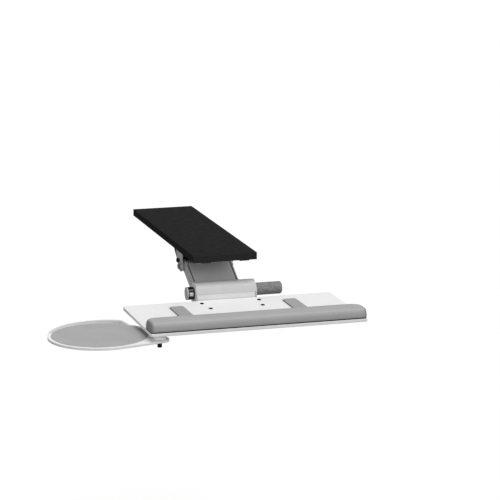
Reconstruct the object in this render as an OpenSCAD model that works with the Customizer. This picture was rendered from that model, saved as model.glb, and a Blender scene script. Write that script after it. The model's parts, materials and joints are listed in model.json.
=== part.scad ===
// Under-desk keyboard tray: a track, a swivelling carriage, a parallelogram arm,
// a tilting board with a palm rest, and a round mouse platform.
// Millimetres. +X is the user's right, -Y points to the user, +Z is up.
// The origin is the middle of the track's top face, which lies against the desk.

/* [Track] */
// Length of the track
track_len = 559; // [500:1:600]
// Width of the track
track_w = 148; // [144:1:154]
// Height of the track
track_h = 16; // [15:0.5:16]
// Thickness of the track's steel
track_sheet = 2; // [1.5:0.1:2]

/* [Carriage] */
// Place of the swivel axis along the track
swivel_y = -80; // [-82:1:-79]

/* [Arm] */
// Forward reach of the arm, pivot to pivot
arm_run = 124.7; // [122:0.1:128]
// Drop of the arm, pivot to pivot
arm_drop = 63.6; // [60:0.1:66]
// Outer width of the arm's two side plates
arm_w = 108; // [108:1:109]

/* [Head] */
// Radius of the head's rounded cover
head_r = 27.7; // [27.6:0.1:27.8]
// Width of the head's cover
head_w = 140; // [140:1:142]

/* [Board] */
// Width of the keyboard board
board_w = 484; // [478:1:520]
// Depth of the keyboard board
board_d = 263; // [255:1:263]
// Thickness of the keyboard board
board_t = 6.4; // [6:0.1:7]
// Height of the palm rest above the board
palm_h = 24; // [20:0.5:26]
// Depth of the palm rest
palm_d = 67; // [62:1:70]
// Radius of the palm rest's back corners
palm_corner = 24; // [18:1:31]

/* [Mouse platform] */
// Radius of the mouse platform
mouse_r = 111.5; // [108:0.5:114]
// Gap between the board's underside and the mouse platform
mouse_gap = 11.6; // [11:0.1:14]
// Greatest height of the guard along the platform's back edge
guard_h = 8; // [6:0.5:8.5]

/* [Dial] */
// Radius of the tilt dial's grip
dial_r = 14.3; // [13.5:0.1:15]
// Length of the tilt dial's grip
dial_len = 61; // [55:1:64]

/* [Hidden] */
$fn = 72;

play = 0.06;        // radial clearance of a running fit
gap = 0.1;          // gap between parts that only pass each other

// Pivots of the side view, as [y, z]
pivot_u = [-124.5, -57.5];                          // arm on the swivel bracket
pivot_l = pivot_u - [arm_run, arm_drop];            // arm on the head
link_off = [-5, 9.8];                               // link pivots above the arm pivots
pivot_t = pivot_l + [-15.3, 32.5];                  // tilt axis of the board
arm_len = norm([arm_run, arm_drop]);
arm_slope = atan2(arm_drop, arm_run);

// Track, inside
lip_w = 16;
rail_z = -track_h + track_sheet;                    // top of the lips
hole_x = 45;
hole_y = 240;
hole_r = 2.6;

// Carriage and swivel
plate_z = [-9, -6];                                 // carriage plate
plate_len = 110;
swivel_z = [-22, -19];                              // plate of the swivel bracket
hub_r = 14;
ear_x = [60, 63];                                   // left ear; the right one is nearer
ear_right_x = [57, 60];
lug_x = [34, 39];
link_x = [41, 46];
link_pin_r = 2.5;
pin_r = 4;
plate_x = [arm_w / 2 - 2.5, arm_w / 2];             // side plates of the arm

// Board and what lies on it
board_y = pivot_t[0] - 294;                         // front edge
board_top = pivot_t[1] - 11.4;
board_under = board_top - board_t;
bracket_t = 2.6;
screw_rear = [66.5, 235.5];                         // from the middle and the front edge
screw_front = [59.9, 185.6];
tongue_x = 130.7;
tongue_w = 31.6;
tongue_end = 219;
base_t = 2.5;

// Mouse platform, from the middle of the board's front edge
mouse_pivot = [-217, board_y + 29];
mouse_off = [-115.7, 65.4];
mouse_top = board_under - mouse_gap;
mouse_t = 5;
pad_r = 104;
tail_r = 20.5;
guard_arc = [42, 156];
guard_fall = 1.6;                                   // slope of the guard's top
knob_r = 5;

// Tilt barrel round the tilt axis
barrel_r = [19.9, 22.2];
tube_r = 15.4;
chamber_r = 12.5;
journal_r = 12;
screw_r = 5;
nut_travel = 12;                                    // for a tilt of 12 degrees
tray_ear_x = [60, 66];
cover_wall = 2;
cover_mid = pivot_t + [-2.9, -3.1];                 // middle of the cover's round
flank_r = 30.6;                                     // side walls, below the tilt axis
skirt_y = [28, 26.2];                               // in front of the tilt axis
knob_at = [10, 12.7];                               // tension knob above the arm's pivot

// ---- helpers ----

// Extrudes a [y, z] outline along X.
module slab(x0, x1) {
    translate([x0, 0, 0]) rotate([90, 0, 90]) linear_extrude(x1 - x0) children();
}

// The same on both sides of the middle plane.
module slabs(x) {
    slab(x[0], x[1]) children();
    slab(-x[1], -x[0]) children();
}

// Extrudes an [x, z] outline along Y.
module run_y(y0, y1) {
    translate([0, y1, 0]) rotate([90, 0, 0]) linear_extrude(y1 - y0) children();
}

// Extrudes an [x, y] outline along Z.
module rise(z) {
    translate([0, 0, z[0]]) linear_extrude(z[1] - z[0]) children();
}

// Two circles and the straight sides that touch both.
module bar(a, ra, b, rb) {
    dir = atan2(b[1] - a[1], b[0] - a[0]);
    lean = acos((ra - rb) / norm(b - a));
    function on(c, r, ang) = c + r * [cos(ang), sin(ang)];
    translate(a) circle(ra);
    translate(b) circle(rb);
    // the corners lie just inside the circles, so the sides cross them cleanly
    keep = 0.998;
    polygon([
        on(a, ra * keep, dir + lean), on(b, rb * keep, dir + lean),
        on(b, rb * keep, dir - lean), on(a, ra * keep, dir - lean)
    ]);
}

// A rectangle with one radius at the front corners and another at the back.
module rounded_board(x, y0, y1, r_front, r_back) {
    for (s = [-1, 1]) {
        translate([s * (x - r_front), y0 + r_front]) circle(r_front);
        translate([s * (x - r_back), y1 - r_back]) circle(r_back);
    }
    polygon([
        [-x, y0 + r_front], [-x + r_front, y0], [x - r_front, y0], [x, y0 + r_front],
        [x, y1 - r_back], [x - r_back, y1], [-x + r_back, y1], [-x, y1 - r_back]
    ]);
}

// A wedge from the origin, between two angles.
module wedge(r, a0, a1) {
    steps = ceil((a1 - a0) / 20);
    polygon(concat([[0, 0]],
        [for (i = [0 : steps]) r * [cos(a0 + (a1 - a0) * i / steps), sin(a0 + (a1 - a0) * i / steps)]]));
}

// Part of a ring.
module arc_band(r0, r1, a0, a1) {
    intersection() {
        difference() {
            circle(r1);
            circle(r0);
        }
        wedge(2 * r1, a0, a1);
    }
}

module ring(r_out, r_in) {
    difference() {
        circle(r_out);
        circle(r_in);
    }
}

// Outline in the arm's own frame: x runs down the arm from the upper pivot, y is up.
module along_arm() {
    translate(pivot_u) rotate(180 + arm_slope) mirror([0, 1]) children();
}

module at_u() { translate(pivot_u) children(); }
module at_l() { translate(pivot_l) children(); }
module at_t() { translate(pivot_t) children(); }
module at_u_link() { translate(pivot_u + link_off) children(); }
module at_l_link() { translate(pivot_l + link_off) children(); }
module at_swivel() { translate([0, swivel_y]) children(); }

// ---- track ----

module track_outline() {
    w = track_w / 2;
    difference() {
        translate([-w, -track_h]) square([track_w, track_h]);
        translate([-w + track_sheet, rail_z])
            square([track_w - 2 * track_sheet, track_h - 2 * track_sheet]);
        translate([-w + lip_w, -track_h - 1]) square([track_w - 2 * lip_w, track_sheet + 2]);
    }
}

module track_channel() {
    color([0.05, 0.05, 0.055])
    difference() {
        run_y(-track_len / 2, track_len / 2) track_outline();
        for (x = [-hole_x, hole_x], y = [-hole_y, 0, hole_y])
            translate([x, y, -track_sheet - 1]) cylinder(r = hole_r, h = track_sheet + 2);
    }
}

// A plastic stop: a block inside the channel and a cap over the channel's end.
module stop_block(bumps) {
    w = track_w / 2;
    block = [-13.8, -2.2];
    difference() {
        union() {
            run_y(-track_len / 2, -track_len / 2 + 11)
                translate([-w + 4, block[0]]) square([track_w - 8, block[1] - block[0]]);
            run_y(-track_len / 2 - 2, -track_len / 2)
                translate([-w, -track_h]) square([track_w, track_h - 0.3]);
            if (bumps)
                for (x = [-56, 34])
                    run_y(-track_len / 2 - 2, -track_len / 2 + 10)
                        translate([x, -17.6]) square([22, 5]);
        }
        for (x = [-20, 20])
            translate([x, -track_len / 2 + 6, block[0] - 5]) cylinder(r = 1.7, h = 20);
    }
}

module front_stop() { color([0.04, 0.04, 0.04]) stop_block(true); }
module rear_stop() { color([0.04, 0.04, 0.04]) rotate([0, 0, 180]) stop_block(false); }

module stop_screws() {
    color([0.6, 0.6, 0.62])
    for (x = [-20, 20], turn = [0, 180])
        rotate([0, 0, turn]) translate([x, -track_len / 2 + 6, 0]) {
            rise([-13.8, -2.1]) circle(1.6);
            rise([-15.6, -13.8]) ring(3.4, 0.9);
        }
}

// ---- carriage ----

module carriage_plate() {
    color([0.45, 0.45, 0.47])
    rise(plate_z) difference() {
        at_swivel() translate([-66, -plate_len / 2]) square([132, plate_len]);
        at_swivel() circle(hub_r + play);
    }
}

module carriage_glides() {
    x_out = track_w / 2 - track_sheet - 0.6;
    color([0.82, 0.8, 0.74])
    for (side = [-1, 1], y = [-53, 19])
        difference() {
            run_y(swivel_y + y, swivel_y + y + 34)
                translate([side > 0 ? 59 : -x_out, rail_z + 0.3])
                    square([x_out - 59, track_h - 2 * track_sheet - 0.6]);
            run_y(swivel_y + y - 1, swivel_y + y + 35)
                translate([-66, plate_z[0]]) square([132, plate_z[1] - plate_z[0]]);
        }
}

module swivel_hub() {
    color([0.6, 0.6, 0.62]) {
        rise([-31, plate_z[1]]) at_swivel() circle(hub_r);
        rise([plate_z[1], -3.2]) at_swivel() circle(22);
    }
}

module swivel_spacer() {
    color([0.82, 0.8, 0.74])
    rise([swivel_z[1] + gap, plate_z[0]]) at_swivel() ring(34, hub_r + gap);
}

module swivel_washer() {
    color([0.6, 0.6, 0.62])
    rise([swivel_z[0] - 2, swivel_z[0] - gap]) at_swivel() ring(24, hub_r + gap);
}

module swivel_nut() {
    color([0.6, 0.6, 0.62])
    rise([-29.5, -24]) at_swivel() difference() {
        circle(r = 22, $fn = 6);
        circle(hub_r + play);
    }
}

// ---- swivel bracket, which carries the arm ----

module left_ear_outline() {
    at_u() circle(12);
    polygon([
        [-138, -21], [-136.5, -57.5], [-122, -69.2], [-115.8, -65.8], [-92, -49], [-88, -21]
    ]);
}

module swivel_bracket() {
    color([0.42, 0.42, 0.43])
    difference() {
        union() {
            rise(swivel_z) union() {
                at_swivel() circle(56);
                translate([-ear_x[1], -140]) square([2 * ear_x[1], 140 + swivel_y]);
            }
            slab(-ear_x[1], -ear_x[0]) left_ear_outline();
            slab(ear_right_x[0], ear_right_x[1])
                bar(pivot_u, 7.5, [pivot_u[0] + 3, -24], 10);
            slabs(lug_x) bar(pivot_u + link_off, 5, [-117, -24], 8);
        }
        rise([-40, -15]) at_swivel() circle(hub_r + play);
        slab(-80, 80) at_u() circle(pin_r + play);
        slab(-80, -ear_x[0] + 1) at_u() translate(knob_at) circle(2 + play);
        slab(-50, 50) at_u_link() circle(link_pin_r + play);
        rise([-18.99, -5]) translate([-80, -150]) square([160, 160]);
    }
}

// Housing behind the arm's pivot, over the lift spring's anchor.
module swivel_cover() {
    outer = [[-106, -22.1], [-106, -50], [-101, -55], [-80, -55], [-50, -33], [-50, -22.1]];
    inner = [[-104, -22], [-104, -50], [-100, -53], [-81, -53], [-52, -32], [-52, -22]];
    color([0.05, 0.05, 0.05])
    difference() {
        slab(-57.5, 57.5) polygon(outer);
        slab(-55.5, 55.5) polygon(inner);
        rise([-24, -20]) translate([-55.5, -104]) square([111, 52]);
    }
}

// Knob outside the left ear that sets the spring's tension.
module tension_knob() {
    color([0.03, 0.03, 0.03])
    difference() {
        union() {
            slab(-69, -ear_x[1] - 0.05) at_u() translate(knob_at) circle(4.8);
            slab(-ear_x[1] - 0.05, -ear_x[0] - 0.1) at_u() translate(knob_at) circle(2);
        }
        for (i = [0 : 7])
            slab(-70, -64.5) at_u() translate(knob_at)
                rotate(45 * i) translate([5.3, 0]) circle(0.9);
    }
}

module upper_pivot_pin() {
    color([0.62, 0.62, 0.64]) {
        slab(-69.4, ear_right_x[1] + gap) at_u() circle(pin_r);
        slab(ear_right_x[1] + gap, ear_right_x[1] + 2.6) at_u() circle(6.5);
    }
}

// Friction discs that hold the arm at its height.
module brake_discs() {
    color([0.3, 0.3, 0.31])
    for (i = [0 : 2])
        slab(-59.9 + 2 * i, -58.1 + 2 * i) at_u() ring(11, pin_r + gap);
}

module brake_washer() {
    color([0.62, 0.62, 0.64]) slab(-65, -ear_x[1] - 0.05) at_u() ring(9, pin_r + gap);
}

module brake_nut() {
    color([0.2, 0.2, 0.21])
    slab(-68.6, -65.05) at_u() difference() {
        circle(r = 6.2, $fn = 6);
        circle(pin_r + play);
    }
}

module pivot_washer() {
    color([0.82, 0.8, 0.74])
    slab(plate_x[1] + gap, ear_right_x[0] - gap) at_u() ring(8, pin_r + gap);
}

// One closed tube of n sides along a path.
module swept(path, r, sides) {
    n = len(path);
    function ahead(i) = path[min(i + 1, n - 1)] - path[max(i - 1, 0)];
    function unit(v) = v / norm(v);
    // The path winds round an X axis, so X leads the frame of each ring.
    function side_a(i) = unit(cross(unit(ahead(i)), [1, 0.013, 0.007]));
    function side_b(i) = cross(unit(ahead(i)), side_a(i));
    points = [for (i = [0 : n - 1], k = [0 : sides - 1])
        path[i] + r * (cos(360 * k / sides) * side_a(i) + sin(360 * k / sides) * side_b(i))];
    walls = [for (i = [0 : n - 2], k = [0 : sides - 1])
        let (k2 = (k + 1) % sides)
        [i * sides + k, (i + 1) * sides + k, (i + 1) * sides + k2, i * sides + k2]];
    ends = [
        [for (k = [0 : sides - 1]) k],
        [for (k = [sides - 1 : -1 : 0]) (n - 1) * sides + k]
    ];
    polyhedron(points, concat(walls, ends), convexity = 8);
}

// Torsion spring that carries the weight of the board, wound round the upper pivot.
module lift_spring() {
    coil_r = 8.4;
    wire_r = 1.6;
    turns = 14;
    steps = 12;
    x0 = -29;
    pitch = 58 / turns;
    coil = [for (i = [0 : turns * steps])
        [x0 + pitch * i / steps,
         pivot_u[0] + coil_r * cos(360 * i / steps),
         pivot_u[1] + coil_r * sin(360 * i / steps)]];
    leg = [for (z = [6, 14, 22, 31]) [x0 + 58.5, pivot_u[0] + coil_r, pivot_u[1] + z]];
    color([0.35, 0.35, 0.36]) swept(concat(coil, leg), wire_r, 7);
}

module link_pins() {
    for (s = [-1, 1]) mirror([s < 0 ? 1 : 0, 0, 0]) {
        slab(lug_x[0] - 0.5, link_x[1] + 0.2) circle(link_pin_r);
        slab(link_x[1] + 0.2, link_x[1] + 1.8) circle(4);
    }
}

module upper_link_pins() {
    p = pivot_u + link_off;
    color([0.62, 0.62, 0.64]) translate([0, p[0], p[1]]) link_pins();
}

// ---- arm and link ----

module arm_plate_outline() {
    translate([0, 1.5]) circle(14.5);
    translate([arm_len, 0]) circle(11);
    polygon([[0, -13], [arm_len, -11], [arm_len, 11], [90, 16], [0, 16]]);
}

module arm_channel() {
    color([0.42, 0.42, 0.43])
    difference() {
        union() {
            slabs(plate_x) along_arm() arm_plate_outline();
            slab(-plate_x[0] - 1, plate_x[0] + 1) along_arm()
                translate([28, -12]) square([84, 2]);
        }
        slab(-80, 80) at_u() circle(5.5);
        slab(-80, 80) at_l() circle(5.5);
    }
}

module arm_bushes() {
    color([0.82, 0.8, 0.74]) {
        slabs(plate_x) at_u() ring(5.5, pin_r + play);
        slabs(plate_x) at_l() ring(5.5, pin_r + play);
    }
}

module arm_cover() {
    half = plate_x[0] - 3.2;
    color([0.17, 0.17, 0.18]) {
        slab(-half, half) along_arm() translate([10, 14.3]) square([82, 1.6]);
        slabs([half - 1.6, half]) along_arm() translate([10, 5]) square([82, 9.3]);
    }
}

module link_bars() {
    low = pivot_l + link_off;
    high = pivot_u + link_off;
    color([0.5, 0.5, 0.51])
    difference() {
        union() {
            slabs(link_x) bar(high, 3.2, low, 3.2);
            slabs(link_x) at_u_link() circle(5);
            slabs(link_x) at_l_link() circle(5);
            slab(-link_x[0] - 1, link_x[0] + 1) translate((high + low) / 2) circle(2.8);
        }
        slab(-50, 50) at_u_link() circle(link_pin_r + play);
        slab(-50, 50) at_l_link() circle(link_pin_r + 0.3);
    }
}

// ---- head ----

module head_frame() {
    web_x = [30, 38];
    color([0.36, 0.36, 0.37])
    difference() {
        union() {
            slab(-58, 58) at_t() circle(tube_r);
            slabs([58, tray_ear_x[1] - 0.3]) at_t() circle(journal_r);
            slabs(web_x) bar(pivot_t, 13, pivot_l, 9);
            slabs(web_x) at_l_link() circle(5);
            slab(-50, 50) at_t() rotate(50) translate([14, -1.5]) square([8.4, 3]);
        }
        slab(-52, 52) at_t() circle(chamber_r);
        slab(-80, 80) at_t() circle(screw_r + play);
        slab(-80, 80) at_l() circle(pin_r + play);
        slab(-50, 50) at_l_link() circle(link_pin_r + play);
        // guide slot for the nut's follower
        translate([-16, pivot_t[0] - 2.8, pivot_t[1]]) cube([32, 5.6, 30]);
    }
}

module head_side_outline() {
    back = pivot_t[0] + 17;
    translate(cover_mid) circle(head_r);
    intersection() {
        union() {
            at_t() circle(flank_r);
            bar(pivot_t, 28, pivot_l + [2, -1], 15);
        }
        translate([back - 60, pivot_t[1] - 80]) square([60, 80]);
    }
    translate(pivot_l) circle(9);
}

module head_cover() {
    half = head_w / 2;
    wall = [half - cover_wall, half];
    color([0.72, 0.72, 0.72])
    difference() {
        union() {
            slab(-half, half) translate(cover_mid) arc_band(head_r - 1, head_r, 46, 170);
            slabs(wall) head_side_outline();
            slab(-half, half) translate([pivot_l[0] - 12, pivot_l[1] - 15])
                square([13, 2]);
        }
        slab(-half - 1, -half + 4) at_t() circle(10.2);
        slab(half - 4, half + 1) at_t() circle(screw_r + 1);
        slab(-80, 80) at_l() circle(1.7);
    }
}

module head_pin() {
    head = plate_x[1] + gap;
    color([0.62, 0.62, 0.64])
    difference() {
        union() {
            slab(-head, head) at_l() circle(pin_r);
            slabs([head, head + 2.4]) at_l() circle(6.5);
        }
        slabs([head - 8, head + 4]) at_l() circle(1.7);
    }
}

module head_link_pins() {
    p = pivot_l + link_off;
    color([0.62, 0.62, 0.64]) translate([0, p[0], p[1]])
        for (s = [-1, 1]) mirror([s < 0 ? 1 : 0, 0, 0]) {
            slab(30, link_x[1] + 0.2) circle(link_pin_r);
            slab(link_x[1] + 0.2, link_x[1] + 1.8) circle(4);
        }
}

module cover_screws() {
    half = head_w / 2;
    color([0.3, 0.3, 0.31]) {
        slabs([plate_x[1] - 5, half]) at_l() circle(1.6);
        slabs([half, half + 1.4]) at_l() ring(4.6, 1.5);
    }
}

// Drum on the head's left side; its window shows the tilt scale.
module gauge_housing() {
    half = head_w / 2;
    color([0.03, 0.03, 0.03])
    difference() {
        slab(-half - 14.5, -half) at_t() ring(14.5, 12.6);
        translate([-half - 12.5, pivot_t[0] - 20, pivot_t[1] - 4.6]) cube([9.5, 20, 9.6]);
    }
}

module gauge_cap() {
    half = head_w / 2;
    color([0.4, 0.4, 0.41]) slab(-half - 17, -half - 14.5) at_t() circle(14.5);
}

// ---- tray ----

module tray_bracket() {
    wall_y = pivot_t[0] - barrel_r[1];
    ear = tray_ear_x[1];
    slot_half = nut_travel + 0.4;
    slot_lean = atan2((barrel_r[0] + barrel_r[1]) / 2 * sin(12), nut_travel);
    color([0.66, 0.66, 0.67])
    difference() {
        union() {
            slab(-ear, ear) at_t() arc_band(barrel_r[0], barrel_r[1], 70, 180);
            slab(-ear, ear) translate([wall_y, board_under - bracket_t])
                square([barrel_r[1] - barrel_r[0], pivot_t[1] - board_under + bracket_t]);
            slabs(tray_ear_x) at_t() circle(barrel_r[1]);
            slabs(tray_ear_x) translate([wall_y, board_under - bracket_t])
                square([22, pivot_t[1] - board_under + bracket_t]);
            rise([board_under - bracket_t, board_under]) {
                rounded_board(78, board_y + 168, board_y + 261.5, 10, 3);
                translate([-ear, board_y + 258]) square([2 * ear, wall_y + 2.3 - board_y - 258]);
            }
        }
        slab(-80, 80) at_t() circle(journal_r + play);
        // oblique slot that the nut's follower pushes along
        translate([0, pivot_t[0], pivot_t[1] + 15]) rotate([0, 0, slot_lean])
            linear_extrude(20) bar([-slot_half - 1.1, 0], 3.1, [slot_half + 1.1, 0], 3.1);
        for (s = [-1, 1], p = [screw_rear, screw_front])
            translate([s * p[0], board_y + p[1], board_under - bracket_t - 1])
                cylinder(r = 2.1, h = bracket_t + 2);
    }
}

// Plastic skirt that closes the gap under the head's cover.
module tray_skirt() {
    y = pivot_t[0] - skirt_y[0];
    color([0.72, 0.72, 0.72]) {
        slab(-67.4, 67.4) translate([y, board_under])
            square([skirt_y[0] - skirt_y[1], pivot_t[1] + 1.3 - board_under]);
        for (x = [-52, 0, 50])
            slab(x, x + 2) translate([y + 1, board_under])
                square([skirt_y[0] - 1 - barrel_r[1], 12]);
    }
}

// White drum with the tilt marks, turned by the tray.
module gauge_scale() {
    half = head_w / 2;
    color([0.9, 0.9, 0.9]) {
        slab(-half - 0.5, -tray_ear_x[1]) at_t() ring(9.8, 7.5);
        slab(-half - 2.5, -half - 0.5) at_t() ring(12.2, 7.5);
        slab(-half - 13.5, -half - 2.5) at_t() ring(12.2, 10.5);
    }
}

module board() {
    color([0.9, 0.9, 0.9])
    difference() {
        rise([board_under, board_top])
            rounded_board(board_w / 2, board_y, board_y + board_d, 5, 10);
        for (s = [-1, 1], p = [screw_rear, screw_front])
            translate([s * p[0], board_y + p[1], 0]) {
                rise([board_under - 1, board_top + 1]) circle(2.3);
                rise([board_top - 2.4, board_top + 1]) circle(4);
            }
        translate(mouse_pivot) {
            rise([board_under - 1, board_top + 1]) circle(pin_r + gap);
            rise([board_top - 2.6, board_top + 1]) circle(8.3);
        }
    }
}

module board_screws() {
    color([0.12, 0.12, 0.12])
    for (s = [-1, 1], p = [screw_rear, screw_front])
        translate([s * p[0], board_y + p[1], 0]) {
            rise([board_under - bracket_t - 1.5, board_top - 2.4]) circle(2);
            rise([board_top - 2.4, board_top + 0.7]) difference() {
                circle(3.8);
                circle(r = 1.6, $fn = 6);
            }
        }
}

// Thin plastic base of the palm rest, with two tongues that lie under a keyboard.
module palm_base() {
    color([0.45, 0.45, 0.46])
    rise([board_top, board_top + base_t]) {
        rounded_board(board_w / 2 - 0.4, board_y + 2.3, board_y + palm_d + 1.6, 7.6,
            palm_corner - 0.4);
        for (s = [-1, 1])
            translate([s * tongue_x, 0])
                rounded_board(tongue_w / 2, board_y + palm_d - 30, board_y + tongue_end, 3, 7);
    }
}

module palm_rest() {
    color([0.45, 0.45, 0.46])
    rise([board_top + base_t, board_top + palm_h])
        rounded_board(board_w / 2, board_y + 2, board_y + 2 + palm_d, 8, palm_corner);
}

// ---- mouse platform ----

module at_mouse_pivot() { translate([mouse_pivot[0], mouse_pivot[1], 0]) children(); }

module mouse_bolt() {
    color([0.62, 0.62, 0.64]) at_mouse_pivot() {
        rise([mouse_top - 16, board_top - 2.6]) circle(pin_r);
        rise([board_top - 2.6, board_top - 0.2]) circle(8);
    }
}

module mouse_mount_washer() {
    color([0.04, 0.04, 0.04]) at_mouse_pivot()
        rise([board_under - 1.6, board_under]) ring(15.5, pin_r + gap);
}

module mouse_spacer() {
    color([0.72, 0.72, 0.72]) at_mouse_pivot()
        rise([mouse_top + gap, board_under - 1.6]) ring(13.5, pin_r + gap);
}

module mouse_platform() {
    disc = mouse_pivot + mouse_off;
    color([0.9, 0.9, 0.9])
    difference() {
        rise([mouse_top - mouse_t, mouse_top]) hull() {
            translate(disc) circle(r = mouse_r, $fn = 144);
            translate(mouse_pivot) circle(r = tail_r, $fn = 96);
        }
        translate([disc[0], disc[1], 0]) rise([mouse_top - 1.2, mouse_top + 1]) circle(pad_r + 0.3);
        at_mouse_pivot() rise([mouse_top - mouse_t - 1, mouse_top + 1]) circle(6);
    }
}

module at_disc() {
    translate([mouse_pivot[0] + mouse_off[0], mouse_pivot[1] + mouse_off[1], 0]) children();
}

// The tail of the platform's rim cuts into the pad's circle a little, so the pad is round.
module mouse_pad() {
    color([0.42, 0.42, 0.42]) at_disc() rise([mouse_top - 1.2, mouse_top + 0.5]) circle(pad_r);
}

module mouse_guard() {
    color([0.72, 0.72, 0.72]) at_disc()
    difference() {
        rise([mouse_top, mouse_top + guard_h])
            arc_band(pad_r + 1.2, mouse_r - 0.5, guard_arc[0], guard_arc[1]);
        // the top falls away to the left, and the right end slopes down to the rim
        translate([pad_r * cos(guard_arc[0]), 0, mouse_top + guard_h]) rotate([0, -guard_fall, 0])
            translate([-300, -150, 0]) cube([350, 300, 20]);
        rotate([0, 0, guard_arc[0]]) translate([pad_r - 4, 0, mouse_top + 0.8])
            rotate([22, 0, 0]) cube([20, 30, 20]);
    }
}

module mouse_bush() {
    color([0.82, 0.8, 0.74]) at_mouse_pivot()
        rise([mouse_top - mouse_t, mouse_top]) ring(6, pin_r + play);
}

module mouse_knob_washer() {
    color([0.62, 0.62, 0.64]) at_mouse_pivot()
        rise([mouse_top - mouse_t - 1.4, mouse_top - mouse_t - gap]) ring(8, pin_r + play);
}

module mouse_knob() {
    top = mouse_top - mouse_t - 1.5;
    flutes = 10;
    color([0.03, 0.03, 0.03]) at_mouse_pivot()
    difference() {
        rise([top - 12, top]) circle(knob_r);
        rise([top - 10.5, top + 1]) circle(pin_r + play);
        for (i = [0 : flutes - 1])
            rotate(360 * i / flutes) translate([knob_r + 0.5, 0, 0])
                rise([top - 13, top - 1.5]) circle(0.9);
    }
}

// ---- tilt dial ----

dial_x = [head_w / 2 + 0.6, head_w / 2 + 0.6 + dial_len];

module tilt_screw() {
    color([0.62, 0.62, 0.64]) slab(-58, dial_x[1] - 3) at_t() circle(screw_r);
}

module dial_core() {
    color([0.12, 0.12, 0.12])
    slab(dial_x[0], dial_x[1]) at_t() ring(dial_r - 3, screw_r);
}

module dial_grip() {
    ribs = 24;
    color([0.3, 0.3, 0.31])
    difference() {
        slab(dial_x[0] + 0.6, dial_x[1]) at_t() ring(dial_r, dial_r - 3);
        for (i = [0 : ribs - 1])
            slab(dial_x[0] + 5, dial_x[1] - 5) at_t()
                rotate(360 * i / ribs) translate([dial_r + 0.55, 0]) circle(0.9);
    }
}

module dial_cap() {
    color([0.3, 0.3, 0.31])
    translate([dial_x[1], pivot_t[0], pivot_t[1]]) rotate([0, 90, 0])
        rotate_extrude() polygon(concat([[0, 0], [dial_r, 0]],
            [for (a = [0 : 15 : 90]) [dial_r - 4.5 + 4.5 * cos(a), 4.5 * sin(a)]],
            [[0, 4.5]]));
}

module tilt_nut() {
    color([0.7, 0.62, 0.4])
    difference() {
        union() {
            slab(-8, 8) at_t() circle(chamber_r - 0.3);
            translate([0, pivot_t[0], pivot_t[1] + 8]) cylinder(r = 2.5, h = 15);
        }
        slab(-9, 9) at_t() circle(screw_r + play);
    }
}

track_channel();
front_stop();
rear_stop();
stop_screws();
carriage_plate();
carriage_glides();
swivel_hub();
swivel_spacer();
swivel_nut();
swivel_washer();
swivel_bracket();
swivel_cover();
tension_knob();
upper_pivot_pin();
brake_discs();
brake_washer();
brake_nut();
pivot_washer();
lift_spring();
upper_link_pins();
arm_channel();
arm_cover();
arm_bushes();
link_bars();
head_frame();
head_cover();
head_pin();
head_link_pins();
cover_screws();
gauge_housing();
gauge_cap();
tray_bracket();
tray_skirt();
gauge_scale();
board();
board_screws();
palm_base();
palm_rest();
mouse_bolt();
mouse_mount_washer();
mouse_spacer();
mouse_platform();
mouse_pad();
mouse_guard();
mouse_bush();
mouse_knob_washer();
mouse_knob();
tilt_screw();
dial_core();
dial_grip();
dial_cap();
tilt_nut();
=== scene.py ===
"""Looks for the under-desk keyboard tray: camera, light, materials and the soft parts.

Everything is in metres, in the CAD's own frame: the track's top face is at z = 0,
-Y points to the user, and the board hangs about 0.1 m below the desk.
"""

import json
import math

import bmesh
import bpy
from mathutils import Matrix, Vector, noise


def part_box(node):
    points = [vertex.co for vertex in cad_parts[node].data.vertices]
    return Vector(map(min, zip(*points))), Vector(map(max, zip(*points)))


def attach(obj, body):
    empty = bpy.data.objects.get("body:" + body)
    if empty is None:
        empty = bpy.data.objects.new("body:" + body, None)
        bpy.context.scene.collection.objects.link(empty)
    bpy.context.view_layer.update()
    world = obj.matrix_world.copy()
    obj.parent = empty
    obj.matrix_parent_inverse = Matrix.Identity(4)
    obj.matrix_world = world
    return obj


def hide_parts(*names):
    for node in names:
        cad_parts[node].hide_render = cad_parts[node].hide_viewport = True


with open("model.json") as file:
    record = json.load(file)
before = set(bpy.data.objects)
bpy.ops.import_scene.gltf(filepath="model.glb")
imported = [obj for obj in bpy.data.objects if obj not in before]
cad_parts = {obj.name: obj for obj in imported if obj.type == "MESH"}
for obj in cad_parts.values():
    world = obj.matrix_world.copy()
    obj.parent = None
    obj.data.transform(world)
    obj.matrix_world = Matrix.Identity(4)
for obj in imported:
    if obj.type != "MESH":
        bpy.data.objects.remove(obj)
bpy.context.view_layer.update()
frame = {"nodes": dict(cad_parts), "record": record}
nodes = frame["nodes"]
scene = bpy.context.scene
MM = 0.001

# ---------------------------------------------------------------- camera, light, floor

CAM_AT = Vector((-1.3991, -5.1588, 1.1142))
CAM_TURN = math.radians(-16.63)
CAM_DOWN = math.radians(12.28)
CAM_LENS_MM = 166.75
SENSOR_MM = 36.0
FAR_CLIP = 300.0
DESK_HEIGHT = 0.72                  # a desk's underside above the floor
FLOOR_SIZE = 240.0


def make_camera():
    data = bpy.data.cameras.new("camera")
    data.sensor_width = SENSOR_MM
    data.lens = CAM_LENS_MM
    data.clip_end = FAR_CLIP
    camera = bpy.data.objects.new("camera", data)
    scene.collection.objects.link(camera)
    forward = Vector((
        -math.sin(CAM_TURN) * math.cos(CAM_DOWN),
        math.cos(CAM_TURN) * math.cos(CAM_DOWN),
        -math.sin(CAM_DOWN),
    ))
    camera.location = CAM_AT
    camera.rotation_euler = forward.to_track_quat("-Z", "Y").to_euler()
    scene.camera = camera


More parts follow.
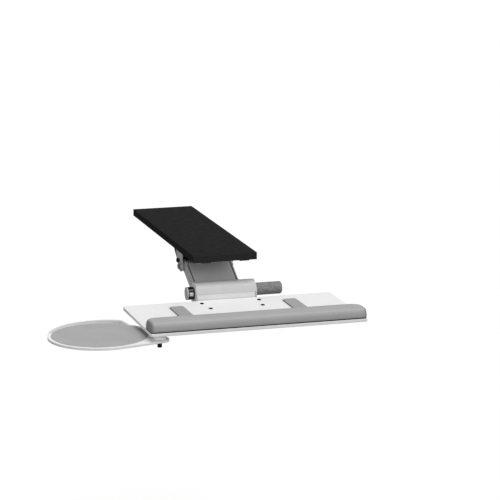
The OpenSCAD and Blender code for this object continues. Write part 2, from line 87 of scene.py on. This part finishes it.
def soft_sun(name, toward, strength, width):
    """A far light that comes from the direction `toward`, `width` degrees wide."""
    data = bpy.data.lights.new(name, "SUN")
    data.energy = strength
    data.angle = math.radians(width)
    lamp = bpy.data.objects.new(name, data)
    scene.collection.objects.link(lamp)
    lamp.rotation_euler = (-Vector(toward)).to_track_quat("-Z", "Y").to_euler()


def make_world():
    """A pale studio that is darker on the mouse platform's side."""
    world = bpy.data.worlds.new("studio")
    scene.world = world
    world.use_nodes = True
    tree = world.node_tree
    coord = tree.nodes.new("ShaderNodeTexCoord")
    split = tree.nodes.new("ShaderNodeSeparateXYZ")
    tree.links.new(coord.outputs["Generated"], split.inputs[0])
    ramp = tree.nodes.new("ShaderNodeMapRange")
    ramp.inputs["From Min"].default_value = -0.9
    ramp.inputs["From Max"].default_value = 0.7
    ramp.inputs["To Min"].default_value = 0.3
    ramp.inputs["To Max"].default_value = 0.5
    tree.links.new(split.outputs["X"], ramp.inputs["Value"])
    background = tree.nodes["Background"]
    tree.links.new(ramp.outputs["Result"], background.inputs["Color"])
    background.inputs["Strength"].default_value = 1.0


def make_floor():
    """A floor that looks white, lights the underside little, and is clear from below."""
    bpy.ops.mesh.primitive_plane_add(size=FLOOR_SIZE, location=(0.0, 0.0, -DESK_HEIGHT))
    floor = bpy.context.active_object
    floor.name = "floor"
    material = bpy.data.materials.new("floor_pale")
    material.use_nodes = True
    tree = material.node_tree
    paper = tree.nodes["Principled BSDF"]
    paper.inputs["Base Color"].default_value = (0.22, 0.22, 0.22, 1.0)
    paper.inputs["Roughness"].default_value = 0.9
    paper.inputs["Specular IOR Level"].default_value = 0.1
    glow = tree.nodes.new("ShaderNodeEmission")
    glow.inputs["Strength"].default_value = 0.8
    both = tree.nodes.new("ShaderNodeAddShader")
    tree.links.new(paper.outputs[0], both.inputs[0])
    tree.links.new(glow.outputs[0], both.inputs[1])
    seen = tree.nodes.new("ShaderNodeMixShader")
    tree.links.new(tree.nodes.new("ShaderNodeLightPath").outputs["Is Camera Ray"], seen.inputs[0])
    tree.links.new(paper.outputs[0], seen.inputs[1])
    tree.links.new(both.outputs[0], seen.inputs[2])
    below = tree.nodes.new("ShaderNodeMixShader")
    tree.links.new(tree.nodes.new("ShaderNodeNewGeometry").outputs["Backfacing"], below.inputs[0])
    tree.links.new(seen.outputs[0], below.inputs[1])
    tree.links.new(tree.nodes.new("ShaderNodeBsdfTransparent").outputs[0], below.inputs[2])
    tree.links.new(below.outputs[0], tree.nodes["Material Output"].inputs["Surface"])
    floor.data.materials.append(material)


# ---------------------------------------------------------------- materials


class Shade:
    """One node material, with the few node groups that the finishes share."""

    def __init__(self, name, roughness, metallic=0.0, specular=0.5):
        self.material = bpy.data.materials.new(name)
        self.material.use_nodes = True
        self.tree = self.material.node_tree
        self.shader = self.tree.nodes["Principled BSDF"]
        self.shader.inputs["Roughness"].default_value = roughness
        self.shader.inputs["Metallic"].default_value = metallic
        self.shader.inputs["Specular IOR Level"].default_value = specular
        self.coord = self.tree.nodes.new("ShaderNodeTexCoord").outputs["Object"]

    def node(self, kind, **values):
        made = self.tree.nodes.new(kind)
        for key, value in values.items():
            if hasattr(made, key):
                setattr(made, key, value)
            else:
                made.inputs[key.replace("_", " ")].default_value = value
        return made

    def link(self, a, b):
        self.tree.links.new(a, b)

    def scaled(self, x, y, z):
        stretch = self.node("ShaderNodeMapping")
        stretch.inputs["Scale"].default_value = (x, y, z)
        self.link(self.coord, stretch.inputs["Vector"])
        return stretch.outputs[0]

    def noise(self, scale, detail=3.0, where=None):
        made = self.node("ShaderNodeTexNoise", Scale=scale, Detail=detail)
        self.link(where or self.coord, made.inputs["Vector"])
        return made.outputs["Fac"]

    def wave(self, scale, direction, distortion=0.0):
        made = self.node("ShaderNodeTexWave", Scale=scale, Distortion=distortion)
        made.bands_direction = direction
        self.link(self.coord, made.inputs["Vector"])
        return made.outputs["Fac"]

    def maths(self, operation, a, b):
        made = self.node("ShaderNodeMath", operation=operation)
        for socket, value in zip(made.inputs, (a, b)):
            if isinstance(value, (int, float)):
                socket.default_value = value
            else:
                self.link(value, socket)
        return made.outputs[0]

    def between(self, value, low, high, start=0.3, stop=0.7):
        made = self.node("ShaderNodeMapRange")
        made.inputs["From Min"].default_value = start
        made.inputs["From Max"].default_value = stop
        made.inputs["To Min"].default_value = low
        made.inputs["To Max"].default_value = high
        self.link(value, made.inputs["Value"])
        return made.outputs["Result"]

    def colours(self, value, low, high, start=0.3, stop=0.7):
        ramp = self.node("ShaderNodeValToRGB")
        ramp.color_ramp.elements[0].position = start
        ramp.color_ramp.elements[1].position = stop
        ramp.color_ramp.elements[0].color = (*low, 1.0)
        ramp.color_ramp.elements[1].color = (*high, 1.0)
        self.link(value, ramp.inputs["Fac"])
        return ramp.outputs["Color"]

    def mix(self, factor, a, b):
        made = self.node("ShaderNodeMix", data_type="RGBA")
        self.link(factor, made.inputs["Factor"])
        rgba = [s for s in made.inputs if s.type == "RGBA"]
        for socket, value in zip(rgba, (a, b)):
            if isinstance(value, tuple):
                socket.default_value = (*value, 1.0)
            else:
                self.link(value, socket)
        return [s for s in made.outputs if s.type == "RGBA"][0]

    def edge(self, radius):
        """The rounded normal near sharp edges, and a mask that is 1 on them."""
        bevel = self.node("ShaderNodeBevel", samples=6)
        bevel.inputs["Radius"].default_value = radius
        plain = self.node("ShaderNodeNewGeometry").outputs["Normal"]
        dot = self.node("ShaderNodeVectorMath", operation="DOT_PRODUCT")
        self.link(bevel.outputs[0], dot.inputs[0])
        self.link(plain, dot.inputs[1])
        return bevel.outputs[0], self.between(dot.outputs["Value"], 1.0, 0.0, 0.9, 0.995)

    def bump(self, height, strength, distance, normal=None):
        made = self.node("ShaderNodeBump", Strength=strength, Distance=distance)
        self.link(height, made.inputs["Height"])
        if normal is not None:
            self.link(normal, made.inputs["Normal"])
        return made.outputs[0]

    def done(self, colour, normal, roughness=None):
        self.link(colour, self.shader.inputs["Base Color"])
        self.link(normal, self.shader.inputs["Normal"])
        if roughness is not None:
            self.link(roughness, self.shader.inputs["Roughness"])
        return self.material


def grey(value, warm=0.0):
    return (value * (1 + warm), value, value * (1 - warm))


def painted(name, value, worn, roughness, specular=0.4):
    """Powder coat: a fine orange peel, and a little wear where edges are sharp."""
    s = Shade(name, roughness, specular=specular)
    normal, rim = s.edge(0.5 * MM)
    mottle = s.noise(12.0, 6.0)
    coat = s.colours(mottle, grey(value * 0.95), grey(value * 1.05))
    scuff = s.maths("MULTIPLY", rim, s.between(s.noise(160.0, 4.0), 0.0, 1.0, 0.45, 0.75))
    colour = s.mix(scuff, coat, grey(worn))
    peel = s.bump(s.noise(1500.0, 2.0), 0.12, 0.06 * MM, normal)
    rough = s.between(s.noise(60.0, 4.0), roughness - 0.04, roughness + 0.05)
    return s.done(colour, peel, rough)


def moulded(name, value, roughness, specular=0.5, depth=0.2, warm=0.0, radius=0.8 * MM,
            sides=None, ends=None):
    """Plastic with a fine moulded grain and slightly lighter edges.

    sides, if given, is the tone of painted shade laid on the upright faces. ends, if given,
    is how far out along X an end face lies, and its own tone.
    """
    s = Shade(name, roughness, specular=specular)
    normal, rim = s.edge(radius)
    mottle = s.noise(20.0, 4.0)
    body = s.colours(mottle, grey(value * 0.97, warm), grey(value * 1.03, warm))
    if ends:
        place = s.node("ShaderNodeSeparateXYZ")
        s.link(s.coord, place.inputs[0])
        out = s.maths("ABSOLUTE", place.outputs["X"], 0.0)
        from_end = s.maths("ABSOLUTE", s.maths("SUBTRACT", out, ends[0]), 0.0)
        body = s.mix(s.maths("LESS_THAN", from_end, 0.3 * MM), body, grey(ends[1]))
    colour = s.mix(rim, body, grey(min(value * 1.1 + 0.01, 0.95), warm))
    if sides is not None:
        # painted shade: every upright face is painted the dark sides tone, standing in for shadow
        facing = s.node("ShaderNodeSeparateXYZ")
        s.link(s.coord.node.outputs["Normal"], facing.inputs[0])
        upright = s.maths("LESS_THAN", s.maths("ABSOLUTE", facing.outputs["Z"], 0.0), 0.5)
        colour = s.mix(upright, body, grey(sides))
    sparks = s.noise(900.0, 2.0)
    return s.done(colour, s.bump(sparks, depth, 0.08 * MM, normal),
                  s.between(s.noise(45.0, 3.0), roughness - 0.05, roughness + 0.06))


def steel(name, value, roughness, stretch=(1.0, 1.0, 1.0), warm=0.0):
    """Bright metal with fine lines across the stretched direction."""
    s = Shade(name, roughness, metallic=1.0)
    normal, _ = s.edge(0.25 * MM)
    lines = s.noise(500.0, 4.0, s.scaled(*stretch))
    colour = s.colours(lines, grey(value * 0.85, warm), grey(value * 1.1, warm))
    return s.done(colour, s.bump(lines, 0.12, 0.04 * MM, normal),
                  s.between(lines, roughness - 0.08, roughness + 0.1))


def laminate(name, value):
    """Smooth white board with fine pores, and a painted highlight along its rounded edges."""
    s = Shade(name, 0.42)
    normal, rim = s.edge(2.0 * MM)
    cloud = s.noise(9.0, 5.0)
    face = s.colours(cloud, grey(value * 0.985, 0.003), grey(value * 1.01, 0.003))
    # painted highlight: the rounded edges are painted near-white, as if catching the light
    colour = s.mix(rim, face, grey(0.99))
    pores = s.noise(1300.0, 3.0)
    return s.done(colour, s.bump(pores, 0.1, 0.05 * MM, normal),
                  s.between(s.noise(70.0, 4.0), 0.36, 0.48))


def woven(name, value, pitch, depth):
    """Fine cloth: two crossing sets of threads, with a slow change of tone."""
    s = Shade(name, 0.88, specular=0.25)
    s.shader.inputs["Sheen Weight"].default_value = 0.12
    s.shader.inputs["Sheen Roughness"].default_value = 0.5
    bands = math.pi * 2 / pitch / 20.0
    warp = s.wave(bands, "X", 0.4)
    weft = s.wave(bands, "Y", 0.4)
    cloth = s.maths("MULTIPLY", warp, weft)
    tone = s.noise(28.0, 5.0)
    fibres = s.noise(2600.0, 3.0)
    weave = s.maths("ADD", cloth, s.maths("MULTIPLY", fibres, 0.5))
    mixed = s.maths("ADD", s.maths("MULTIPLY", weave, 0.35), s.maths("MULTIPLY", tone, 0.65))
    colour = s.colours(mixed, grey(value * 0.9), grey(value * 1.08), 0.2, 0.75)
    return s.done(colour, s.bump(weave, depth, 0.12 * MM))


def soft_skin(name, value, ends):
    """Smooth, slightly grained skin over a gel pad, darker towards its ends.

    ends is how far out along X the painted shade starts and stops, and the tone it paints there.
    """
    s = Shade(name, 0.55, specular=0.4)
    s.shader.inputs["Sheen Weight"].default_value = 0.08
    cells = s.node("ShaderNodeTexVoronoi", Scale=900.0)
    s.link(s.coord, cells.inputs["Vector"])
    tone = s.noise(14.0, 4.0)
    place = s.node("ShaderNodeSeparateXYZ")
    s.link(s.coord, place.inputs[0])
    out = s.maths("ABSOLUTE", place.outputs["X"], 0.0)
    middle = s.colours(tone, grey(value * 0.97), grey(value * 1.03))
    # painted shade: the skin is painted darker over the last stretch at each end
    colour = s.mix(s.between(out, 0.0, 1.0, ends[0], ends[1]), middle, grey(ends[2]))
    fine = s.maths("MULTIPLY", s.noise(350.0, 3.0), 0.6)
    grain = s.maths("ADD", cells.outputs["Distance"], fine)
    return s.done(colour, s.bump(grain, 0.18, 0.1 * MM),
                  s.between(s.noise(60.0, 3.0), 0.48, 0.62))


def rubber(name, value):
    """Soft grip with a coarse pebbled skin."""
    s = Shade(name, 0.72, specular=0.3)
    normal, rim = s.edge(0.4 * MM)
    tone = s.noise(90.0, 4.0)
    pebbles = s.node("ShaderNodeTexVoronoi", Scale=420.0)
    s.link(s.coord, pebbles.inputs["Vector"])
    height = s.maths("SUBTRACT", 1.0, pebbles.outputs["Distance"])
    skin = s.colours(height, grey(value * 0.55), grey(value * 1.2), 0.3, 0.75)
    colour = s.mix(rim, skin, grey(value * 1.3))
    return s.done(colour, s.bump(height, 0.5, 0.5 * MM, normal),
                  s.between(tone, 0.64, 0.8))


HEAD_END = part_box("head_cover")[1].x     # the outer faces of the head's cheeks
PALM_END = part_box("palm_rest")[1].x
FINISHES = {
    "black_steel": lambda n: painted(n, 0.006, 0.04, 0.6, 0.06),
    "grey_steel": lambda n: painted(n, 0.6, 0.66, 0.45),
    "dark_steel": lambda n: painted(n, 0.66, 0.7, 0.5),
    "cover_grey_steel": lambda n: painted(n, 0.82, 0.84, 0.45),
    "zinc_steel": lambda n: steel(n, 0.6, 0.34, (1.0, 8.0, 1.0)),
    "spring_steel": lambda n: steel(n, 0.3, 0.3, (8.0, 1.0, 1.0)),
    "nut_brass": lambda n: steel(n, 0.5, 0.32, (1.0, 1.0, 6.0), 0.22),
    "black_plastic": lambda n: moulded(n, 0.01, 0.45, specular=0.2),
    "gloss_black": lambda n: moulded(n, 0.008, 0.14, depth=0.03),
    "white_nylon": lambda n: moulded(n, 0.72, 0.5, warm=0.03),
    "cover_grey": lambda n: moulded(n, 0.54, 0.45, radius=0.9 * MM, ends=(HEAD_END, 0.9)),
    "skirt_grey": lambda n: moulded(n, 0.8, 0.45, radius=0.9 * MM),
    "guard_grey": lambda n: moulded(n, 0.74, 0.45, radius=0.9 * MM),
    # painted shade: the upright sides of the palm base and tongues are painted near-black
    "palm_plastic": lambda n: moulded(n, 0.36, 0.55, sides=0.02),
    "board_white": lambda n: laminate(n, 0.92),
    "scale_white": lambda n: moulded(n, 0.94, 0.3),
    # painted shade: the last 9 mm at each end of the palm rest darkens to 0.2
    "palm_skin": lambda n: soft_skin(n, 0.39, (PALM_END - 9 * MM, PALM_END, 0.2)),
    "pad_fabric": lambda n: woven(n, 0.39, 1.1 * MM, 0.35),
    "grip_rubber": lambda n: rubber(n, 0.26),
}
OWN_FINISH = {"mouse_guard": "guard_grey"}   # nodes that look lighter than their slot
materials = {}


def finish(slot):
    if slot not in materials:
        materials[slot] = FINISHES[slot](slot)
    return materials[slot]


def dress_frame():
    for part in frame["record"]["subparts"]:
        node = nodes[part["node"]]
        material = finish(OWN_FINISH.get(part["node"], part["material_slot"]))
        if not node.data.materials:
            node.data.materials.append(material)
        for held in node.material_slots:
            held.material = material


# ---------------------------------------------------------------- mesh helpers


def mesh_piece(name, points, faces, slot, smooth=True):
    mesh = bpy.data.meshes.new(name)
    mesh.from_pydata([tuple(p) for p in points], [], faces)
    mesh.validate()
    work = bmesh.new()
    work.from_mesh(mesh)
    bmesh.ops.recalc_face_normals(work, faces=work.faces)
    work.to_mesh(mesh)
    work.free()
    for polygon in mesh.polygons:
        polygon.use_smooth = smooth
    piece = bpy.data.objects.new(name, mesh)
    scene.collection.objects.link(piece)
    mesh.materials.append(finish(slot))
    return piece


def ring_faces(rings, count):
    """Quads between closed rings of points, with the first and last ring capped."""
    faces = []
    for ring in range(rings - 1):
        for i in range(count):
            a, b = ring * count + i, ring * count + (i + 1) % count
            faces.append((a, b, b + count, a + count))
    last = (rings - 1) * count
    faces.append(tuple(last + i for i in range(count)))
    faces.append(tuple(reversed(range(count))))
    return faces


# ---------------------------------------------------------------- palm rest

PALM_SKIRT = 0.9 * MM               # the tucked seam between the skin and its base
PALM_FRONT_ROLL = 11 * MM           # how far the front rounds over, seen from above
PALM_BACK_ROLL = 16 * MM
PALM_END_ROLL = 5 * MM
PALM_CROWN = 1.5 * MM               # rise from the end of the roll to the ridge
PALM_FRONT_CORNER = 8 * MM          # corner radii, seen from above
PALM_BACK_CORNER = 24 * MM
PALM_LEAST_CORNER = 0.4 * MM


def palm_outline(low, high, front, back, side):
    """Closed loop with rounded corners, drawn in from the block's four sides."""
    columns = 150
    corner_front = max(PALM_FRONT_CORNER - min(front, side), PALM_LEAST_CORNER)
    corner_back = max(PALM_BACK_CORNER - min(back, side), PALM_LEAST_CORNER)
    left, right = low.x + side, high.x - side
    near, far = low.y + front, high.y - back
    points = []

    def arc(cx, cy, radius, start, steps):
        for i in range(steps):
            angle = math.radians(start + 90.0 * i / steps)
            points.append((cx + radius * math.cos(angle), cy + radius * math.sin(angle)))

    def line(x0, y0, x1, y1, steps):
        for i in range(steps):
            t = i / steps
            points.append((x0 + (x1 - x0) * t, y0 + (y1 - y0) * t))

    line(left + corner_front, near, right - corner_front, near, columns)
    arc(right - corner_front, near + corner_front, corner_front, -90, 8)
    line(right, near + corner_front, right, far - corner_back, 8)
    arc(right - corner_back, far - corner_back, corner_back, 0, 18)
    line(right - corner_back, far, left + corner_back, far, columns)
    arc(left + corner_back, far - corner_back, corner_back, 90, 18)
    line(left, far - corner_back, left, near + corner_front, 8)
    arc(left + corner_front, near + corner_front, corner_front, 180, 8)
    return points


def palm_rest():
    """A long gel rest: upright sides that roll over into a slightly crowned top."""
    low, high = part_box("palm_rest")
    depth, height = high.y - low.y, high.z - low.z
    # the seam at the base, as inset and height
    profile = [(1.6 * MM, 0.0), (0.5 * MM, 0.15 * MM), (0.05 * MM, PALM_SKIRT)]
    rings = [(inset, inset, inset, rise) for inset, rise in profile]
    shoulder = height - PALM_CROWN
    steps = 18
    for i in range(1, steps + 1):
        angle = i / steps * math.pi / 2
        share = 1 - math.cos(angle) ** 0.75
        rise = PALM_SKIRT + (shoulder - PALM_SKIRT) * math.sin(angle) ** 0.75
        rings.append((PALM_FRONT_ROLL * share, PALM_BACK_ROLL * share,
                      PALM_END_ROLL * share, rise))
    ridge = depth / 2 - PALM_FRONT_ROLL - 4 * MM
    for i in range(1, 9):
        t = i / 8
        grow = ridge * t
        rings.append((PALM_FRONT_ROLL + grow, PALM_BACK_ROLL + grow, PALM_END_ROLL + grow,
                      shoulder + PALM_CROWN * math.sin(t * math.pi / 2)))
    points = []
    for front, back, side, rise in rings:
        loop = palm_outline(low, high, front, back, side)
        for x, y in loop:
            share = rise / height
            slope = 1.8 * MM * max(0.0, (y - low.y) / depth - 0.4) * share
            dent = noise.noise(Vector((x * 14, y * 20, rise * 30))) * 0.25 * MM * share
            points.append((x, y, low.z + rise - slope + dent - 0.25 * MM * share))
    piece = mesh_piece("palm_rest_soft", points, ring_faces(len(rings), len(loop)), "palm_skin")
    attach(piece, "tray")
    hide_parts("palm_rest")


# ---------------------------------------------------------------- mouse pad


def mouse_pad():
    """A round cloth-faced pad with a softly pressed rim."""
    low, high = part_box("mouse_pad")
    centre = (low + high) / 2
    radius = (high.x - low.x) / 2
    thick = high.z - low.z
    sides = 160
    rim = [(1.2, 0.0), (0.2, 0.1), (0.0, 0.4), (0.12, 0.72), (0.5, 0.9), (1.3, 0.97)]
    profile = [(radius - inset * MM, thick * share) for inset, share in rim]
    profile += [(radius * share, thick * 0.97)
                for share in (0.96, 0.88, 0.76, 0.62, 0.46, 0.3, 0.15, 0.06)]
    points = []
    for reach, rise in profile:
        for k in range(sides):
            angle = 2 * math.pi * k / sides
            x, y = centre.x + reach * math.cos(angle), centre.y + reach * math.sin(angle)
            wave = 0.0
            if rise > thick * 0.95:
                wave = noise.noise(Vector((x * 30, y * 30, 0.0))) * 0.05 * MM
            points.append((x, y, low.z + rise + wave))
    piece = mesh_piece("mouse_pad_soft", points, ring_faces(len(profile), sides), "pad_fabric")
    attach(piece, "mouse")
    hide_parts("mouse_pad")


# ---------------------------------------------------------------- gauge marks


MARK_PITCH = 8.0                    # degrees round the drum
MARK_LENGTHS = (5.0 * MM, 3.6 * MM, 2.4 * MM)    # the middle one, every third, the rest
BAR_FACES = ((0, 1, 3, 2), (4, 5, 7, 6), (0, 1, 5, 4),
             (2, 3, 7, 6), (0, 2, 6, 4), (1, 3, 7, 5))


def gauge_marks():
    """Raised bars round the front of the white drum, the middle one longer."""
    low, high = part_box("gauge_scale")
    centre = (low + high) / 2
    radius = (high.z - low.z) / 2
    raised, half_thick = 0.15 * MM, 0.16 * MM
    outer_end = low.x + 1.2 * MM
    points, faces = [], []
    for mark in range(-6, 7):
        length = MARK_LENGTHS[0 if mark == 0 else 1 if mark % 3 == 0 else 2]
        angle = math.radians(mark * MARK_PITCH)
        out = Vector((0.0, -math.cos(angle), math.sin(angle)))
        along = Vector((0.0, math.sin(angle), math.cos(angle)))
        start = len(points)
        for x in (outer_end, outer_end + length):
            for reach in (radius - 0.1 * MM, radius + raised):
                for side in (-half_thick, half_thick):
                    points.append(Vector((x, centre.y, centre.z)) + out * reach + along * side)
        for quad in BAR_FACES:
            faces.append(tuple(start + corner for corner in quad))
    piece = mesh_piece("gauge_marks", points, faces, "black_plastic", smooth=False)
    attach(piece, "tray")


# ---------------------------------------------------------------- screw heads


def screw_heads():
    """A domed rim round each socket of the four screws in the board."""
    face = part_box("board")[1].z
    low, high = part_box("board_screws")
    half_way = (low.y + high.y) / 2
    tops = [v.co for v in nodes["board_screws"].data.vertices if v.co.z > face]
    sides = 40
    profile = [(4.5, 0.0), (4.5, 0.6)]
    profile += [(1.8 + 2.7 * math.cos(a * math.pi / 10), 0.6 + 1.5 * math.sin(a * math.pi / 10))
                for a in range(1, 6)]
    profile += [(1.7, 1.9), (1.7, 0.3)]
    points, faces = [], []
    for right in (False, True):
        for rear in (False, True):
            own = [v for v in tops if (v.x > 0) == right and (v.y > half_way) == rear]
            x = (min(v.x for v in own) + max(v.x for v in own)) / 2
            y = (min(v.y for v in own) + max(v.y for v in own)) / 2
            start = len(points)
            for reach, rise in profile:
                for k in range(sides):
                    turn = 2 * math.pi * k / sides
                    points.append((x + reach * MM * math.cos(turn),
                                   y + reach * MM * math.sin(turn), face + rise * MM))
            for ring in range(len(profile)):
                outer = start + ring * sides
                inner = start + (ring + 1) % len(profile) * sides
                for k in range(sides):
                    ahead = (k + 1) % sides
                    faces.append((outer + k, outer + ahead, inner + ahead, inner + k))
    piece = mesh_piece("screw_heads", points, faces, "black_steel")
    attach(piece, "tray")


# ---------------------------------------------------------------- build

make_camera()
make_world()
make_floor()
soft_sun("key", (0.3, -0.9, 0.3), 0.75, 22.0)
soft_sun("top", (0.15, -0.12, 1.0), 1.65, 40.0)
soft_sun("side", (-0.95, -0.3, -0.05), 0.6, 60.0)
dress_frame()
palm_rest()
mouse_pad()
gauge_marks()
screw_heads()
scene.view_settings.view_transform = "Standard"
scene.view_settings.look = "None"
